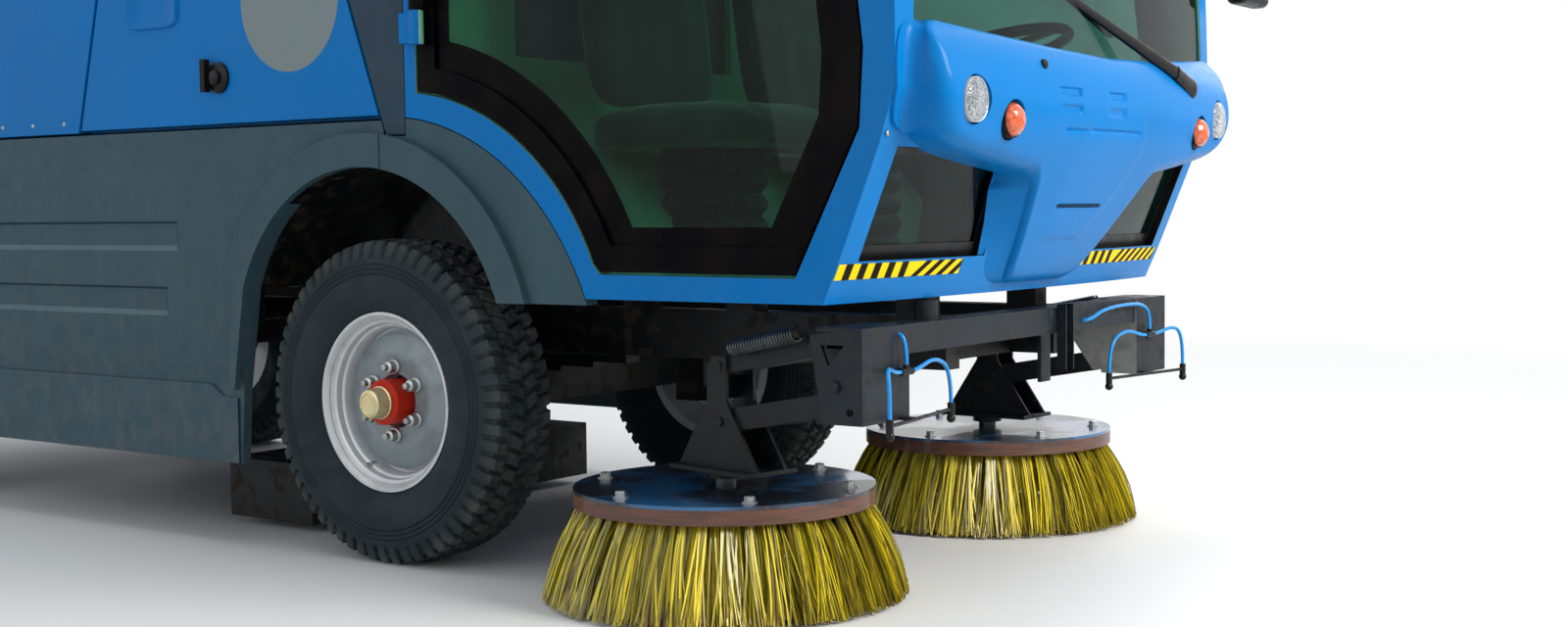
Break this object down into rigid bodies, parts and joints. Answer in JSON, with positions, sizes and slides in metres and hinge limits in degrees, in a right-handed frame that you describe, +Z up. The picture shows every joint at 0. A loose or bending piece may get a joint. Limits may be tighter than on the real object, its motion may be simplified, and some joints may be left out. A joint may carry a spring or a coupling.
{
  "type": "street sweeper truck",
  "caption": "Compact road sweeper truck with a glazed cab, side brushes on lifting booms, suction gear and a tipping hopper.",
  "frame": {"origin": "on the ground under the middle of the vehicle's length and width", "axes": "+X forward, +Y to the vehicle's left, +Z up"},
  "size_m": [4.8, 2.2, 2.2899],
  "materials": {
    "body_blue": "gloss azure paint",
    "moulded_grey": "moulded slate grey",
    "column_dark": "dark slate",
    "frame_black": "satin black",
    "beam_dark": "dark blue-grey paint",
    "door_black": "black",
    "glass_tint": "green tint",
    "lamp_clear": "clear lens",
    "lamp_amber": "amber lens",
    "lamp_red": "red lens",
    "wiper_black": "black",
    "seat_cloth": "dark cloth",
    "dash_plastic": "dark grey",
    "engine_iron": "dull",
    "steel_bare": "worn steel",
    "tyre_rubber": "dusty",
    "rim_silver": "silver paint",
    "disc_paint": "wet dark blue",
    "bristle_green": "yellow-green bristle",
    "hose_blue": "blue hose",
    "duct_black": "ribbed hose"
  },
  "bodies": {
    "root": {"chassis_frame": "frame_black", "engine_block": "engine_iron", "axles": "frame_black", "cab_shell": "body_blue", "cab_roof": "body_blue", "cab_glass": "glass_tint", "nose_panel": "body_blue", "headlamps": "lamp_clear", "amber_lamps": "lamp_amber", "wiper": "wiper_black", "mirrors": "frame_black", "seats": "seat_cloth", "dashboard": "dash_plastic", "steering_wheel": "wiper_black", "engine_housing": "body_blue", "intake_columns": "column_dark", "rear_bumper": "frame_black", "tail_lamps": "lamp_red", "suction_nozzle": "frame_black", "suction_duct": "duct_black", "brush_beam": "beam_dark", "spray_bars": "frame_black", "spray_hoses": "hose_blue", "skirt_right": "moulded_grey", "skirt_left": "moulded_grey", "fender_right": "moulded_grey", "fender_left": "moulded_grey"},
    "hopper": {"hopper_shell": "body_blue"},
    "rear_door": {"hopper_door": "body_blue"},
    "cylinder_barrel": {"tip_barrel": "frame_black"},
    "cylinder_rod": {"tip_rod": "steel_bare"},
    "service_right": {"service_door_right": "body_blue"},
    "cab_door_right": {"door_frame_right": "door_black", "door_glass_right": "glass_tint"},
    "boom_swing_right": {"swing_bracket_right": "beam_dark"},
    "boom_upper_right": {"upper_link_right": "beam_dark"},
    "boom_lower_right": {"lower_link_right": "beam_dark"},
    "head_right": {"brush_head_right": "beam_dark"},
    "brush_right": {"brush_disc_right": "disc_paint", "bristles_right": "bristle_green"},
    "steer_knuckle_right": {"knuckle_right": "frame_black"},
    "front_wheel_right": {"tyre_front_right": "tyre_rubber", "rim_front_right": "rim_silver"},
    "rear_wheel_right": {"tyre_rear_right": "tyre_rubber", "rim_rear_right": "rim_silver"},
    "service_left": {"service_door_left": "body_blue"},
    "cab_door_left": {"door_frame_left": "door_black", "door_glass_left": "glass_tint"},
    "boom_swing_left": {"swing_bracket_left": "beam_dark"},
    "boom_upper_left": {"upper_link_left": "beam_dark"},
    "boom_lower_left": {"lower_link_left": "beam_dark"},
    "head_left": {"brush_head_left": "beam_dark"},
    "brush_left": {"brush_disc_left": "disc_paint", "bristles_left": "bristle_green"},
    "steer_knuckle_left": {"knuckle_left": "frame_black"},
    "front_wheel_left": {"tyre_front_left": "tyre_rubber", "rim_front_left": "rim_silver"},
    "rear_wheel_left": {"tyre_rear_left": "tyre_rubber", "rim_rear_left": "rim_silver"}
  },
  "joints": [
    {"name": "steer_right", "type": "hinge", "parent": "root", "child": "steer_knuckle_right", "pos_m": [0.77, -0.54, 0.4], "axis": [0, 0, 1], "range_deg": [-35, 35]},
    {"name": "steer_left", "type": "hinge", "parent": "root", "child": "steer_knuckle_left", "pos_m": [0.77, 0.54, 0.4], "axis": [0, 0, 1], "range_deg": [-35, 35]},
    {"name": "front_roll_right", "type": "hinge", "parent": "steer_knuckle_right", "child": "front_wheel_right", "pos_m": [0.77, -0.6555, 0.4], "axis": [0, 1, 0], "continuous": true},
    {"name": "rear_roll_right", "type": "hinge", "parent": "root", "child": "rear_wheel_right", "pos_m": [-1.48, -0.6555, 0.4], "axis": [0, 1, 0], "continuous": true},
    {"name": "cab_door_hinge_right", "type": "hinge", "parent": "root", "child": "cab_door_right", "pos_m": [0.983, -0.807, 1.4], "axis": [0, 0, -1], "range_deg": [0, 78]},
    {"name": "service_hinge_right", "type": "hinge", "parent": "root", "child": "service_right", "pos_m": [0.17, -0.798, 1.966], "axis": [-1, 0, 0], "range_deg": [0, 75]},
    {"name": "front_roll_left", "type": "hinge", "parent": "steer_knuckle_left", "child": "front_wheel_left", "pos_m": [0.77, 0.6555, 0.4], "axis": [0, 1, 0], "continuous": true},
    {"name": "rear_roll_left", "type": "hinge", "parent": "root", "child": "rear_wheel_left", "pos_m": [-1.48, 0.6555, 0.4], "axis": [0, 1, 0], "continuous": true},
    {"name": "cab_door_hinge_left", "type": "hinge", "parent": "root", "child": "cab_door_left", "pos_m": [0.983, 0.807, 1.4], "axis": [0, 0, 1], "range_deg": [0, 78]},
    {"name": "service_hinge_left", "type": "hinge", "parent": "root", "child": "service_left", "pos_m": [0.17, 0.798, 1.966], "axis": [1, 0, 0], "range_deg": [0, 75]},
    {"name": "hopper_tip", "type": "hinge", "parent": "root", "child": "hopper", "pos_m": [-2.19, 0, 0.755], "axis": [0, -1, 0], "range_deg": [0, 50]},
    {"name": "rear_door_hinge", "type": "hinge", "parent": "hopper", "child": "rear_door", "pos_m": [-2.307, 0, 2.14], "axis": [0, 1, 0], "range_deg": [0, 75]},
    {"name": "cylinder_swing", "type": "hinge", "parent": "root", "child": "cylinder_barrel", "pos_m": [-1.92, 0, 0.29], "axis": [0, -1, 0], "range_deg": [-0.5, 1.5]},
    {"name": "cylinder_stroke", "type": "slide", "parent": "cylinder_barrel", "child": "cylinder_rod", "axis": [-0.0526, 0, 0.9986], "range_m": [0, 0.23]},
    {"name": "boom_swing_right", "type": "hinge", "parent": "root", "child": "boom_swing_right", "pos_m": [2.1, -0.66, 0.5], "axis": [0, 0, 1], "range_deg": [-3, 33]},
    {"name": "boom_lift_right", "type": "hinge", "parent": "boom_swing_right", "child": "boom_lower_right", "pos_m": [2.03374, -0.6447, 0.452], "axis": [0.225, 0.9744, 0], "range_deg": [0, 17]},
    {"name": "boom_upper_right", "type": "hinge", "parent": "boom_swing_right", "child": "boom_upper_right", "pos_m": [2.03374, -0.6447, 0.575], "axis": [0.225, 0.9744, 0], "range_deg": [0, 17]},
    {"name": "head_level_right", "type": "hinge", "parent": "boom_lower_right", "child": "head_right", "pos_m": [1.71709, -0.5716, 0.3947], "axis": [0.225, 0.9744, 0], "range_deg": [-17, 0]},
    {"name": "brush_spin_right", "type": "hinge", "parent": "head_right", "child": "brush_right", "pos_m": [1.68102, -0.56327, 0.25], "axis": [0, 0, 1], "continuous": true},
    {"name": "boom_swing_left", "type": "hinge", "parent": "root", "child": "boom_swing_left", "pos_m": [2.1, 0.66, 0.5], "axis": [0, 0, 1], "range_deg": [-17.3, 18.7]},
    {"name": "boom_lift_left", "type": "hinge", "parent": "boom_swing_left", "child": "boom_lower_left", "pos_m": [2.03208, 0.6632, 0.452], "axis": [0.0471, 0.9989, 0], "range_deg": [0, 17]},
    {"name": "boom_upper_left", "type": "hinge", "parent": "boom_swing_left", "child": "boom_upper_left", "pos_m": [2.03208, 0.6632, 0.575], "axis": [0.0471, 0.9989, 0], "range_deg": [0, 17]},
    {"name": "head_level_left", "type": "hinge", "parent": "boom_lower_left", "child": "head_left", "pos_m": [1.70745, 0.67851, 0.3947], "axis": [0.0471, 0.9989, 0], "range_deg": [-17, 0]},
    {"name": "brush_spin_left", "type": "hinge", "parent": "head_left", "child": "brush_left", "pos_m": [1.67048, 0.68026, 0.25], "axis": [0, 0, 1], "continuous": true}
  ],
  "couplings": [
    {"joint": "steer_left", "follows": "steer_right", "ratio": 1},
    {"joint": "cylinder_swing", "follows": "hopper_tip", "ratio": 0.02},
    {"joint": "cylinder_stroke", "follows": "hopper_tip", "m_per_rad": 0.257},
    {"joint": "boom_upper_right", "follows": "boom_lift_right", "ratio": 1},
    {"joint": "head_level_right", "follows": "boom_lift_right", "ratio": -1},
    {"joint": "boom_upper_left", "follows": "boom_lift_left", "ratio": 1},
    {"joint": "head_level_left", "follows": "boom_lift_left", "ratio": -1}
  ]
}
